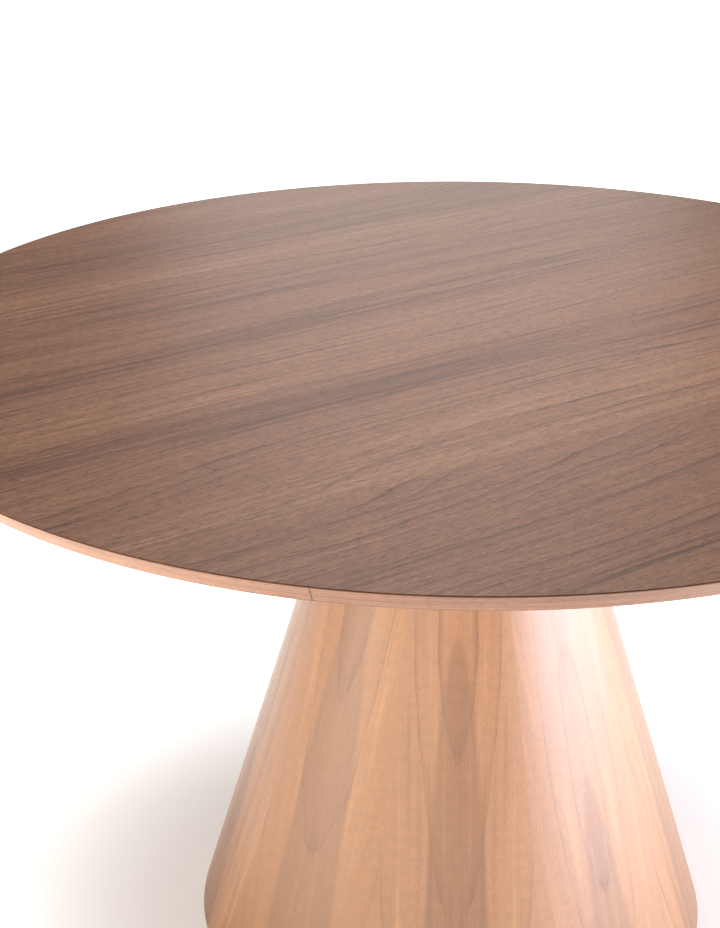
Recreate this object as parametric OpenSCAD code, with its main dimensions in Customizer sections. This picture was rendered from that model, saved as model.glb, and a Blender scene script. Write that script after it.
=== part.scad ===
// Round tilt-top pedestal table: a veneered board on a hollow veneered cone.
// Floor at z = 0, +Z up, the pedestal's axis at x = 0, y = 0. The front is -Y.
// The top tilts about a pair of shoulder bolts near the front of the head, and its face
// turns towards the front.

/* [Table] */
// Diameter of the top
top_d = 1200; // [1160:10:1240]
// Height of the top surface above the floor
table_h = 750; // [745:1:760]

/* [Top board] */
// Thickness of the whole board, veneers included
board_t = 18; // [17:0.5:20]
// How far the edge leans in at the underside
edge_lean = 11; // [8:0.5:14]
// Thickness of the face and backing veneers
veneer_t = 0.8; // [0.6:0.1:1]
// Thickness of the edge band
band_t = 1.2; // [1:0.1:1.6]
// Direction of the edge band's butt joint, in degrees from +X
band_joint_at = -136; // [-180:1:180]

/* [Pedestal] */
// Outer radius of the cone if it ran down to the floor
foot_r = 307; // [300:1:312]
// Outer radius of the cone at the head
head_r = 95; // [93:1:96]
// Gap between the cone and the floor
floor_gap = 8; // [7:0.5:10]
// Thickness of the coopered shell
shell_t = 9; // [8:0.5:11]
// Number of leaves of veneer round the cone
leaf_count = 18; // [12:1:24]
// Direction of the first joint between leaves, in degrees from +X
leaf_turn = -5; // [-15:1:15]
// Height of the head's flat top
head_z = 686; // [684:1:687]

/* [Tilt head] */
// Distance of the pivots from the pedestal's axis
pivot_back = 70; // [68:1:72]
// Depth of the pivots below the underside of the board
pivot_drop = 24; // [23:0.5:25]
// Diameter of the shoulder bolts
pivot_d = 12; // [10:0.5:13]
// Width of the block between the bearers
block_w = 168; // [160:1:170]
// Width of a bearer
bearer_w = 36; // [30:1:40]
// Depth of a bearer at its middle
bearer_h = 36; // [34:0.5:37]
// Length of a bearer
bearer_l = 900; // [860:10:940]

/* [Catch] */
// Travel of the catch bolt
catch_travel = 16; // [12:1:16]
// Width of the catch bolt
catch_w = 14; // [12:0.5:16]
// Thickness of the catch bolt
catch_t = 5; // [4.5:0.5:5]

/* [Feet] */
// Distance of the levelling glides from the pedestal's axis
glide_ring_r = 258; // [250:1:262]
// Diameter of a glide's pad
glide_d = 34; // [30:1:38]

/* [Hidden] */
$fn = 96;

walnut = [0.55, 0.40, 0.31];
walnut_side = [0.80, 0.62, 0.50];
board_colour = [0.62, 0.52, 0.40];
beech = [0.78, 0.62, 0.44];
steel = [0.62, 0.63, 0.65];
black_steel = [0.12, 0.12, 0.13];
brass = [0.78, 0.62, 0.32];
rubber = [0.10, 0.10, 0.10];
nylon = [0.16, 0.15, 0.15];

// Clearances: a running fit, and the gap that keeps neighbours apart
run_gap = 0.05;
hair = 0.15;

// Board
top_r = top_d / 2;
under_z = table_h - board_t;
band_top_z = table_h - veneer_t;
core_bottom_z = under_z + veneer_t;
edge_fall = edge_lean / board_t;

// Cone: outer radius at a height
cone_slope = (foot_r - head_r) / head_z;
function cone_r(z) = foot_r - cone_slope * z;
shell_in = veneer_t + shell_t;
joint_gap_deg = 0.03;

// Inside the cone
foot_disc_z = 14;
foot_disc_t = 18;
ballast_z = foot_disc_z + foot_disc_t;
ballast_t = 12;
ballast_r = 220;
ballast_screw_r = 180;
rib_z = 340;
rib_t = 18;
head_t = 24;
post_w = 80;
rod_r = 6;
rod_hole_r = 7;
rod_low_z = 18;
rod_counterbore_r = 17;
washer_t = 2.5;
washer_r = 15;
nut_t = 10;
low_nut_t = 6;
nut_across = 19;
rod_low_washer_z = rod_low_z - washer_t;
rod_bottom_z = rod_low_washer_z - low_nut_t;

// Tilt head
pivot_y = -pivot_back;
pivot_z = under_z - pivot_drop;
pivot_r = pivot_d / 2;
block_top_z = under_z - 2;
block_nose_r = block_top_z - pivot_z;
block_back_y = 95;
block_chamfer = 22;
rod_top_washer_z = block_top_z - nut_t - washer_t - 3;
bearer_in = block_w / 2 + 1;
bearer_out = bearer_in + bearer_w;
bearer_bottom_z = under_z - bearer_h;
bearer_end_h = 14;
bearer_flat = 150;
bush_wall = 2.5;
thrust_washer_r = 11;
washer_gap_t = 0.8;
insert_r = 8;
insert_l = 20;
bolt_head_r = 10;
bolt_head_t = 6;
hex_key = 6;
block_screw_x = 42;
block_screw_y = [-38, 62];
rest_pad_r = 9;
rest_pad_x = 70;
rest_pad_y = [-40, 72];

// Screws of the bearers: place along the bearer and the length of the screw
bearer_screw_at = [[-385, 28], [-225, 38], [-20, 40], [130, 40], [225, 38], [385, 28]];
screw_tip_z = table_h - 6;

// Stop rail
rail_y = -291;
rail_w = 120;
rail_d = 36;
rail_t = 12;
pad_t = 4.6;
pad_w = 90;
pad_d = 18;

// Catch: the bolt slides along Y, towards -Y to lock
catch_y = 153;
catch_l = 92;
packer_t = 8;
plate_w = 38;
plate_t = 2;
catch_plate_z = under_z - packer_t - plate_t;
leaf_t = 0.4;
leaf_rise = 1.1;
bolt_gap = 1.8;
catch_z = catch_plate_z - bolt_gap - catch_t;
catch_screw_x = 13;
catch_screw_y = [catch_y - 38, catch_y + 38];
catch_screw_l = screw_tip_z - catch_plate_z;
bolt_l = 96;
bolt_nose_y = block_back_y + 5;
knob_r = 7;
knob_neck_r = 3;
knob_l = 15;
knob_y = catch_y + catch_travel / 2;
bridge_t = 1.6;
bridge_l = 12;
bridge_slack = 0.3;
bridge_y = [
    knob_y - catch_travel - knob_neck_r - bridge_slack - bridge_l / 2,
    knob_y + knob_neck_r + bridge_slack + bridge_l / 2
];

// Keeper on the back of the block, and the mortise behind it
keeper_t = 2;
keeper_w = 46;
keeper_h = 22;
keeper_mid_z = catch_z + catch_t / 2;
keeper_low_z = keeper_mid_z - keeper_h / 2;
keeper_screw_x = 16;
mortise_w = catch_w + 2;
mortise_h = catch_t + 2.4;
mortise_l = catch_travel;

// Glides
pad_h = 6;
collar_h = 7.6;
stem_r = 4;
stem_top_z = 30;
insert_flange_t = 0.4;
glide_at = [45, 135, 225, 315];

// ---------- shared shapes ----------

// A cone-sided disc between two heights, set in from the cone's outside
module cone_disc(z0, z1, inset) {
    rotate_extrude()
        polygon([[0, z0], [cone_r(z0) - inset, z0], [cone_r(z1) - inset, z1], [0, z1]]);
}

// A countersunk screw with its head's face at z = 0, pointing up
module screw_up(head_r, shank_r, length) {
    rotate_extrude()
        polygon([
            [0, 0], [head_r, 0], [shank_r, head_r - shank_r],
            [shank_r, length - shank_r], [0, length]
        ]);
}

// The room that such a screw takes, with a counterbore below its head
module screw_room_up(head_r, shank_r, length, sink) {
    translate([0, 0, -sink])
        cylinder(r = head_r + 0.4, h = sink);
    rotate_extrude()
        polygon([
            [0, -0.01], [head_r + 0.1, -0.01], [shank_r + 0.1, head_r - shank_r],
            [shank_r + 0.1, length - shank_r + 0.1], [0, length + 0.1]
        ]);
}

// A cross slot to cut in a screw's head
module cross_slot(size) {
    for (turn = [0, 90])
        rotate([0, 0, turn])
            translate([-size / 2, -0.5, -0.1])
                cube([size, 1, 1.6]);
}

module mirrored_x() {
    children();
    mirror([1, 0, 0]) children();
}

// ---------- pedestal ----------

module pedestal_veneer() {
    leaf = 360 / leaf_count;
    color(walnut_side)
        for (i = [0:leaf_count - 1])
            rotate([0, 0, leaf_turn + i * leaf + joint_gap_deg])
                rotate_extrude(angle = leaf - 2 * joint_gap_deg)
                    polygon([
                        [cone_r(floor_gap) - veneer_t, floor_gap],
                        [cone_r(floor_gap), floor_gap],
                        [cone_r(head_z), head_z],
                        [cone_r(head_z) - veneer_t, head_z]
                    ]);
}

module pedestal_shell() {
    color(beech)
        rotate_extrude()
            polygon([
                [cone_r(floor_gap) - shell_in, floor_gap],
                [cone_r(floor_gap) - veneer_t, floor_gap],
                [cone_r(head_z) - veneer_t, head_z],
                [cone_r(head_z) - shell_in, head_z]
            ]);
}

module foot_disc() {
    color(beech)
        difference() {
            cone_disc(foot_disc_z, ballast_z, shell_in);
            cylinder(r = rod_hole_r, h = table_h);
            translate([0, 0, foot_disc_z - 1])
                cylinder(r = rod_counterbore_r, h = rod_low_z - foot_disc_z + 1);
            for (a = glide_at)
                rotate([0, 0, a])
                    translate([glide_ring_r, 0, 0])
                        cylinder(r = insert_r, h = table_h);
            for (a = [0:90:270])
                rotate([0, 0, a])
                    translate([ballast_screw_r, 0, 20])
                        cylinder(r = 2.5, h = 40);
        }
}

module ballast_plate() {
    color(black_steel)
        difference() {
            translate([0, 0, ballast_z])
                cylinder(r = ballast_r, h = ballast_t);
            cylinder(r = rod_hole_r, h = table_h);
            for (a = [0:90:270])
                rotate([0, 0, a])
                    translate([ballast_screw_r, 0, 20])
                        cylinder(r = 3.2, h = 60);
        }
}

module ballast_screws() {
    color(steel)
        for (a = [0:90:270])
            rotate([0, 0, a])
                translate([ballast_screw_r, 0, ballast_z + ballast_t])
                    rotate_extrude()
                        polygon([
                            [0, -22], [2.4, -20], [2.4, 0], [6, 0], [6, 2], [3.5, 4], [0, 4]
                        ]);
}

module centre_post() {
    color(beech)
        difference() {
            translate([-post_w / 2, -post_w / 2, ballast_z + ballast_t])
                cube([post_w, post_w, head_z - head_t - ballast_z - ballast_t]);
            cylinder(r = rod_hole_r, h = table_h);
        }
}

module mid_rib() {
    color(beech)
        difference() {
            cone_disc(rib_z, rib_z + rib_t, shell_in);
            translate([-post_w / 2 - hair, -post_w / 2 - hair, rib_z - 1])
                cube([post_w + 2 * hair, post_w + 2 * hair, rib_t + 2]);
            for (a = [0:60:300])
                rotate([0, 0, a])
                    translate([118, 0, rib_z - 1])
                        cylinder(r = 27, h = rib_t + 2);
        }
}

module head_disc() {
    color(beech)
        difference() {
            cone_disc(head_z - head_t, head_z, shell_in);
            cylinder(r = rod_hole_r, h = table_h);
            for (x = [-block_screw_x, block_screw_x], y = block_screw_y)
                translate([x, y, head_z - head_t - 1])
                    cylinder(r = 4.1, h = head_t + 2);
        }
}

module tie_rod() {
    color(steel)
        translate([0, 0, rod_bottom_z])
            cylinder(r = rod_r, h = rod_top_washer_z + washer_t + nut_t + 1 - rod_bottom_z);
}

module tie_rod_washers() {
    color(steel)
        for (z = [rod_low_washer_z, rod_top_washer_z])
            translate([0, 0, z])
                difference() {
                    cylinder(r = washer_r, h = washer_t);
                    translate([0, 0, -1])
                        cylinder(r = rod_r + hair, h = washer_t + 2);
                }
}

// The lower nut is a thin one that stays above the floor
module tie_rod_nuts() {
    color(steel)
        for (nut = [[rod_low_washer_z - low_nut_t, low_nut_t], [rod_top_washer_z + washer_t, nut_t]])
            translate([0, 0, nut[0]])
                difference() {
                    cylinder(d = nut_across / cos(30), h = nut[1], $fn = 6);
                    translate([0, 0, -1])
                        cylinder(r = rod_r + run_gap, h = nut[1] + 2);
                }
}

// ---------- tilt head ----------

// Side outline of the block: its front end is rounded about the pivots
module block_outline() {
    union() {
        translate([pivot_y, head_z])
            square([block_back_y - pivot_y, block_top_z - head_z]);
        translate([pivot_y - block_nose_r, head_z])
            square([block_nose_r + 1, pivot_z - head_z]);
        translate([pivot_y, pivot_z])
            circle(r = block_nose_r);
    }
}

module tilt_block() {
    color(walnut)
        difference() {
            rotate([90, 0, 90])
                translate([0, 0, -block_w / 2])
                    linear_extrude(block_w)
                        block_outline();
            mirrored_x()
                translate([block_w / 2, block_back_y, head_z - 1])
                    rotate([0, 0, 45])
                        cube([block_chamfer, block_chamfer, 90], center = true);
            cylinder(r = rod_hole_r, h = table_h);
            translate([0, 0, rod_top_washer_z])
                cylinder(r = rod_counterbore_r, h = 40);
            mirrored_x()
                translate([block_w / 2 - 40, pivot_y, pivot_z])
                    rotate([0, 90, 0])
                        cylinder(r = insert_r, h = 60);
            for (x = [-block_screw_x, block_screw_x], y = block_screw_y)
                translate([x, y, head_z - 1]) {
                    cylinder(r = 4.1, h = 60);
                    translate([0, 0, 25])
                        cylinder(r = 11, h = 40);
                }
            translate([-mortise_w / 2, block_back_y - mortise_l, keeper_mid_z - mortise_h / 2])
                cube([mortise_w, mortise_l + 1, mortise_h]);
            translate([-keeper_w / 2 - hair, block_back_y - keeper_t, keeper_low_z - hair])
                cube([keeper_w + 2 * hair, keeper_t + 1, keeper_h + 2 * hair]);
            for (x = [-1, 1])
                translate([x * keeper_screw_x, block_back_y - keeper_t, keeper_mid_z])
                    rotate([90, 0, 0])
                        cylinder(r = 1.6, h = 18);
        }
}

module block_screws() {
    color(steel)
        for (x = [-block_screw_x, block_screw_x], y = block_screw_y)
            translate([x, y, head_z - head_t + 2]) {
                cylinder(r = 4, h = head_t + 22);
                translate([0, 0, head_t + 22])
                    cylinder(r = 10, h = 1.6);
                translate([0, 0, head_t + 23.6])
                    cylinder(d = 13 / cos(30), h = 5.3, $fn = 6);
            }
}

// One pivot on the +X side: head outside the bearer, shoulder through it, thread in the block
module pivot_bolts() {
    head_x = bearer_out + 0.4;
    color(steel)
        mirrored_x()
            translate([0, pivot_y, pivot_z])
                rotate([0, 90, 0])
                    difference() {
                        union() {
                            translate([0, 0, head_x])
                                cylinder(r = bolt_head_r, h = bolt_head_t);
                            translate([0, 0, block_w / 2])
                                cylinder(r = pivot_r, h = head_x - block_w / 2 + 1);
                            translate([0, 0, block_w / 2 - insert_l + 2])
                                cylinder(r = 5, h = insert_l);
                        }
                        translate([0, 0, head_x + 2.5])
                            cylinder(d = hex_key / cos(30), h = 10, $fn = 6);
                    }
}

module pivot_inserts() {
    color(brass)
        mirrored_x()
            translate([block_w / 2 - insert_l, pivot_y, pivot_z])
                rotate([0, 90, 0])
                    difference() {
                        cylinder(r = insert_r - run_gap, h = insert_l);
                        translate([0, 0, -1])
                            cylinder(r = 5 + run_gap, h = insert_l + 2);
                    }
}

module rest_pads() {
    color(rubber)
        for (x = [-rest_pad_x, rest_pad_x], y = rest_pad_y)
            translate([x, y, block_top_z])
                cylinder(r = rest_pad_r, h = under_z - block_top_z - run_gap);
}

module keeper_plate() {
    color(brass)
        difference() {
            translate([-keeper_w / 2, block_back_y - keeper_t, keeper_low_z])
                cube([keeper_w, keeper_t, keeper_h]);
            translate([-mortise_w / 2, block_back_y - 10, keeper_mid_z - mortise_h / 2])
                cube([mortise_w, 20, mortise_h]);
            for (x = [-1, 1])
                translate([x * keeper_screw_x, block_back_y + 1, keeper_mid_z])
                    rotate([90, 0, 0])
                        cylinder(r = 1.8, h = 10);
        }
}

module keeper_screws() {
    color(brass)
        for (x = [-1, 1])
            translate([x * keeper_screw_x, block_back_y + 1.3, keeper_mid_z])
                rotate([90, 0, 0])
                    difference() {
                        rotate_extrude()
                            polygon([
                                [0, 0], [2, 0], [3.2, 1.3], [1.5, 1.3], [1.5, 13], [0, 14]
                            ]);
                        cross_slot(2.4);
                    }
}

// ---------- top ----------

// A ring or disc whose side follows the leaning edge, a distance in from the outside
module edge_side(z0, z1, outer_inset, inner_inset) {
    r0 = top_r - (table_h - z0) * edge_fall;
    r1 = top_r - (table_h - z1) * edge_fall;
    polygon([[r0 - inner_inset, z0], [r0 - outer_inset, z0], [r1 - outer_inset, z1], [r1 - inner_inset, z1]]);
}

module solid_side(z0, z1, inset) {
    r0 = top_r - (table_h - z0) * edge_fall - inset;
    r1 = top_r - (table_h - z1) * edge_fall - inset;
    polygon([[0, z0], [r0, z0], [r1, z1], [0, z1]]);
}

// Room for every screw that goes up into the board
module board_screw_room() {
    mirrored_x()
        for (s = bearer_screw_at)
            translate([(bearer_in + bearer_out) / 2, s[0], screw_tip_z - s[1]])
                screw_room_up(4.5, 2.4, s[1], 12);
    for (x = [-40, 40])
        translate([x, rail_y, screw_tip_z - 20])
            screw_room_up(3.8, 1.8, 20, 5);
    for (x = [-1, 1], y = catch_screw_y)
        translate([x * catch_screw_x, y, catch_plate_z])
            screw_room_up(3, 1.4, catch_screw_l, 1);
}

module top_core() {
    color(board_colour)
        difference() {
            rotate_extrude()
                solid_side(core_bottom_z, band_top_z, band_t);
            board_screw_room();
        }
}

module top_veneer() {
    color(walnut)
        rotate_extrude()
            solid_side(band_top_z, table_h, 0);
}

module back_veneer() {
    color(walnut)
        difference() {
            rotate_extrude()
                solid_side(under_z, core_bottom_z, band_t);
            board_screw_room();
        }
}

module edge_band() {
    color(walnut_side)
        rotate([0, 0, band_joint_at])
            rotate_extrude(angle = 360 - 0.015)
                edge_side(under_z, band_top_z, 0, band_t);
}

// Side outline of a bearer: deep at the middle, tapered to its ends
module bearer_outline() {
    half = bearer_l / 2;
    polygon([
        [-half, under_z], [-half, under_z - bearer_end_h],
        [-bearer_flat, bearer_bottom_z], [bearer_flat, bearer_bottom_z],
        [half, under_z - bearer_end_h], [half, under_z]
    ]);
}

// The bearer on the +X side
module one_bearer() {
    difference() {
        rotate([90, 0, 90])
            translate([0, 0, bearer_in])
                linear_extrude(bearer_w)
                    bearer_outline();
        translate([bearer_in - 1, pivot_y, pivot_z])
            rotate([0, 90, 0])
                cylinder(r = pivot_r + bush_wall, h = bearer_w + 2);
        board_screw_room();
    }
}

module bearer_right() {
    color(walnut) one_bearer();
}

module bearer_left() {
    color(walnut) mirror([1, 0, 0]) one_bearer();
}

module bearer_screws() {
    color(steel)
        mirrored_x()
            for (s = bearer_screw_at)
                translate([(bearer_in + bearer_out) / 2, s[0], screw_tip_z - s[1]])
                    difference() {
                        screw_up(4.5, 2.4, s[1]);
                        cross_slot(4);
                    }
}

module pivot_bushes() {
    color(brass)
        mirrored_x()
            translate([bearer_in, pivot_y, pivot_z])
                rotate([0, 90, 0])
                    difference() {
                        cylinder(r = pivot_r + bush_wall - run_gap, h = bearer_w);
                        translate([0, 0, -1])
                            cylinder(r = pivot_r + run_gap, h = bearer_w + 2);
                    }
}

module pivot_washers() {
    color(nylon)
        mirrored_x()
            translate([bearer_in - washer_gap_t, pivot_y, pivot_z])
                rotate([0, 90, 0])
                    difference() {
                        cylinder(r = thrust_washer_r, h = washer_gap_t);
                        translate([0, 0, -1])
                            cylinder(r = pivot_r + 0.1, h = washer_gap_t + 2);
                    }
}

module stop_rail() {
    color(walnut)
        difference() {
            translate([-rail_w / 2, rail_y - rail_d / 2, under_z - rail_t])
                cube([rail_w, rail_d, rail_t]);
            board_screw_room();
        }
}

module stop_rail_screws() {
    color(steel)
        for (x = [-40, 40])
            translate([x, rail_y, screw_tip_z - 20])
                difference() {
                    screw_up(3.8, 1.8, 20);
                    cross_slot(3.4);
                }
}

module stop_pad() {
    color(rubber)
        translate([-pad_w / 2 + 20, rail_y - pad_d / 2, under_z - rail_t - pad_t])
            cube([pad_w - 40, pad_d, pad_t]);
}

// ---------- catch ----------

module catch_packer() {
    color(walnut)
        difference() {
            translate([-plate_w / 2 - 3, catch_y - catch_l / 2 - 3, under_z - packer_t])
                cube([plate_w + 6, catch_l + 6, packer_t]);
            board_screw_room();
        }
}

module catch_plate() {
    color(brass)
        difference() {
            translate([-plate_w / 2, catch_y - catch_l / 2, catch_plate_z])
                cube([plate_w, catch_l, plate_t]);
            board_screw_room();
        }
}

module catch_screws() {
    color(brass)
        for (x = [-1, 1], y = catch_screw_y)
            translate([x * catch_screw_x, y, catch_plate_z])
                difference() {
                    screw_up(3, 1.4, catch_screw_l);
                    cross_slot(2.6);
                }
}

// A strap that bends down round the bolt and back up to a foot on the plate at each side
module one_bridge() {
    inner = catch_w / 2 + bridge_slack;
    low = catch_z - bridge_slack;
    foot_z = catch_plate_z;
    rotate([90, 0, 0])
        translate([0, 0, -bridge_l / 2])
            linear_extrude(bridge_l)
                polygon([
                    [-plate_w / 2 + 3, foot_z], [-plate_w / 2 + 3, foot_z - bridge_t],
                    [-inner - bridge_t, foot_z - bridge_t], [-inner - bridge_t, low - bridge_t],
                    [inner + bridge_t, low - bridge_t], [inner + bridge_t, foot_z - bridge_t],
                    [plate_w / 2 - 3, foot_z - bridge_t], [plate_w / 2 - 3, foot_z],
                    [inner, foot_z], [inner, low], [-inner, low], [-inner, foot_z]
                ]);
}

module catch_bridges() {
    color(brass)
        for (y = bridge_y)
            translate([0, y, 0])
                one_bridge();
}

// A thin bowed leaf that presses on the bolt and keeps it where it is put
module friction_leaf() {
    span = 30;
    bow_r = (span * span / 4 + leaf_rise * leaf_rise) / (2 * leaf_rise);
    color(brass)
        intersection() {
            translate([-5, catch_y - span / 2, catch_z + catch_t])
                cube([10, span, bolt_gap]);
            translate([0, catch_y, catch_plate_z - leaf_rise - leaf_t + bow_r])
                rotate([0, 90, 0])
                    difference() {
                        cylinder(r = bow_r, h = 10, center = true);
                        cylinder(r = bow_r - leaf_t, h = 12, center = true);
                    }
        }
}

module catch_bolt() {
    color(brass)
        difference() {
            translate([-catch_w / 2, bolt_nose_y, catch_z])
                cube([catch_w, bolt_l, catch_t]);
            mirrored_x()
                translate([catch_w / 2, bolt_nose_y, catch_z - 1])
                    rotate([0, 0, 45])
                        cube([3, 3, 20], center = true);
            translate([0, knob_y, catch_z - 1])
                cylinder(r = 1.8, h = catch_t + 2);
        }
}

module catch_knob() {
    color(brass)
        translate([0, knob_y, catch_z])
            rotate_extrude()
                polygon([
                    [0, -knob_l], [knob_r - 1.5, -knob_l], [knob_r, -knob_l + 1.5],
                    [knob_r, -knob_l + 5], [knob_r - 1.5, -knob_l + 7],
                    [knob_neck_r, -knob_l + 8.5], [knob_neck_r, 0],
                    [1.75, 0], [1.75, catch_t], [0, catch_t]
                ]);
}

// ---------- glides ----------

module glide_inserts() {
    color(brass)
        for (a = glide_at)
            rotate([0, 0, a])
                translate([glide_ring_r, 0, 0])
                    difference() {
                        union() {
                            translate([0, 0, foot_disc_z])
                                cylinder(r = insert_r - run_gap, h = foot_disc_t);
                            translate([0, 0, foot_disc_z - insert_flange_t])
                                cylinder(r = insert_r + 3, h = insert_flange_t);
                        }
                        cylinder(r = stem_r + run_gap, h = table_h);
                    }
}

module glide_stem(i) {
    color(steel)
        rotate([0, 0, glide_at[i]])
            translate([glide_ring_r, 0, pad_h]) {
                cylinder(d = 17 / cos(30), h = collar_h, $fn = 6);
                cylinder(r = stem_r, h = stem_top_z - pad_h);
            }
}

module glide_pad(i) {
    r = glide_d / 2;
    color(nylon)
        rotate([0, 0, glide_at[i]])
            translate([glide_ring_r, 0, 0])
                rotate_extrude()
                    polygon([[0, 0], [r - 1, 0], [r, 1], [r, 3.5], [r - 6, pad_h], [0, pad_h]]);
}

module glide_1_stem() { glide_stem(0); }
module glide_1_pad() { glide_pad(0); }
module glide_2_stem() { glide_stem(1); }
module glide_2_pad() { glide_pad(1); }
module glide_3_stem() { glide_stem(2); }
module glide_3_pad() { glide_pad(2); }
module glide_4_stem() { glide_stem(3); }
module glide_4_pad() { glide_pad(3); }

pedestal_veneer();
pedestal_shell();
foot_disc();
ballast_plate();
ballast_screws();
centre_post();
mid_rib();
head_disc();
tie_rod();
tie_rod_washers();
tie_rod_nuts();
tilt_block();
block_screws();
pivot_bolts();
pivot_inserts();
rest_pads();
keeper_plate();
keeper_screws();
glide_inserts();
top_core();
top_veneer();
back_veneer();
edge_band();
bearer_left();
bearer_right();
bearer_screws();
pivot_bushes();
pivot_washers();
stop_rail();
stop_rail_screws();
stop_pad();
catch_packer();
catch_plate();
catch_bridges();
catch_screws();
friction_leaf();
catch_bolt();
catch_knob();
glide_1_stem();
glide_1_pad();
glide_2_stem();
glide_2_pad();
glide_3_stem();
glide_3_pad();
glide_4_stem();
glide_4_pad();
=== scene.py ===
"""Looks of a round walnut tilt-top table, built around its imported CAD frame.

The veneered faces, the edge band, the bearers and the tilt head are modelled here as finer
pieces. The rest of the CAD nodes keep their shape and get a finish.
"""
import math

import bmesh
import bpy
from mathutils import Matrix, Vector


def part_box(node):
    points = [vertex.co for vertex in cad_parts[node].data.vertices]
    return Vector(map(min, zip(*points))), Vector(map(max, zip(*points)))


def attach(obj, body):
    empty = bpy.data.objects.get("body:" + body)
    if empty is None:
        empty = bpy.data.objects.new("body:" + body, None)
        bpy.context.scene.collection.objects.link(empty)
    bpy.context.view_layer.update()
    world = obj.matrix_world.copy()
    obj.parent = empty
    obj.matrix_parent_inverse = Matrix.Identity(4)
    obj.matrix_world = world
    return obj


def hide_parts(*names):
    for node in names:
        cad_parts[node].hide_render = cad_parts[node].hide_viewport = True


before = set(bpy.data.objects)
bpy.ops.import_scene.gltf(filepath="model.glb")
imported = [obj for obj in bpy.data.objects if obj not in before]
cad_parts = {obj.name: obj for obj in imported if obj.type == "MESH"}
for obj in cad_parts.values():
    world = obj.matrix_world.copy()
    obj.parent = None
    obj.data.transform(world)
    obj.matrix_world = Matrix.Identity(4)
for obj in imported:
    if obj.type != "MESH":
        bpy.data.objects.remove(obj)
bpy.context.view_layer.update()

bl_info = {
    "name": "Walnut tilt-top table",
    "version": (1, 0, 0),
    "blender": (4, 5, 0),
    "location": "View3D > Sidebar > Table",
    "description": "Builds the veneered looks of a round tilt-top pedestal table",
    "category": "Object",
}

MM = 0.001

# Walnut's markings: length along the grain and width across it, in metres.
# Its pores are a fifth of a millimetre wide and its fibres far less. Both are drawn four
# times wider or more so that they show at the distance a table is seen from.
PORE = (6 * MM, 0.8 * MM)
FIBRE = (14 * MM, 1.1 * MM)
MOTTLE = (8.5 * MM, 16 * MM)
FRAY = (22 * MM, 3 * MM)
WIGGLE = (110 * MM, 30 * MM)
BREAK = (160 * MM, 12 * MM)
BROAD_BAND = (1100 * MM, 70 * MM)
STREAK_LENGTH = 260 * MM

# How much broad bands and narrow streaks each move the body colour
BAND_SHARE = 0.65
STREAK_SHARE = 0.60

# Distance through the growth rings in which their spacing drifts
SPREAD_REACH = 90 * MM

# A crown-cut leaf: how steeply its rings climb, and its dark tongue's half width a metre down
FLAME_SLOPE = 0.14
TONGUE_WIDTH = 0.066

# Height of the heart of the log that the solid parts were sawn from
HEART_HEIGHT = 0.9

# A face whose normal's Z is over this looks up
UPWARD = 0.95

# The gap between the edge band's ends, and half the angle of the gap between two leaves
BUTT_GAP = 0.25 * MM
LEAF_GAP = math.radians(0.004)
LEAF_ROWS = 28
GLIDES = (1, 2, 3, 4)

# The floor is a hair below the glides, so that it shares no plane with them
FLOOR_RADIUS = 60.0
FLOOR_DROP = 0.2 * MM


# ---- colours and nodes

def linear(hex_colour):
    """An sRGB hex colour as linear RGBA."""
    channels = [int(hex_colour[i:i + 2], 16) / 255 for i in (0, 2, 4)]
    bent = [c / 12.92 if c <= 0.04045 else ((c + 0.055) / 1.055) ** 2.4 for c in channels]
    return (*bent, 1.0)


def add(tree, kind, inputs=None, ramp=None, **settings):
    """Adds a node with its settings, and gives each named input a value or a link."""
    node = tree.nodes.new(kind)
    for name, value in settings.items():
        setattr(node, name, value)
    for key, value in (inputs or {}).items():
        if isinstance(value, bpy.types.NodeSocket):
            tree.links.new(value, node.inputs[key])
        else:
            node.inputs[key].default_value = value
    if ramp:
        elements = node.color_ramp.elements
        while len(elements) < len(ramp):
            elements.new(1.0)
        for element, (place, colour) in zip(elements, ramp):
            element.position = place
            element.color = colour
    return node


def grey(level):
    """A grey as RGBA."""
    return (level, level, level, 1.0)


def new_material(name):
    """An empty material and its tree."""
    material = bpy.data.materials.new(name)
    material.use_nodes = True
    material.node_tree.nodes.clear()
    return material, material.node_tree


def finish_surface(tree, colour, roughness, height, depth, specular=0.5):
    """The shader, the bump of the surface's relief and the output."""
    bump = add(tree, "ShaderNodeBump", {"Height": height, "Distance": depth, "Strength": 1.0})
    shader = add(tree, "ShaderNodeBsdfPrincipled", {
        "Base Color": colour, "Roughness": roughness, "Specular IOR Level": specular,
        "Normal": bump.outputs[0]})
    add(tree, "ShaderNodeOutputMaterial", {"Surface": shader.outputs[0]})


# ---- walnut

def stretched_noise(tree, grain, along, across, detail=2.0, roughness=0.5):
    """Noise in the wood's own directions; along and across are its feature sizes in metres."""
    scaled = add(tree, "ShaderNodeMapping", {
        "Vector": grain, "Scale": (1 / along, 1 / across, 1 / across)})
    noise = add(tree, "ShaderNodeTexNoise", {
        "Vector": scaled.outputs[0], "Scale": 1.0, "Detail": detail, "Roughness": roughness})
    return noise.outputs["Fac"]


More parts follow.
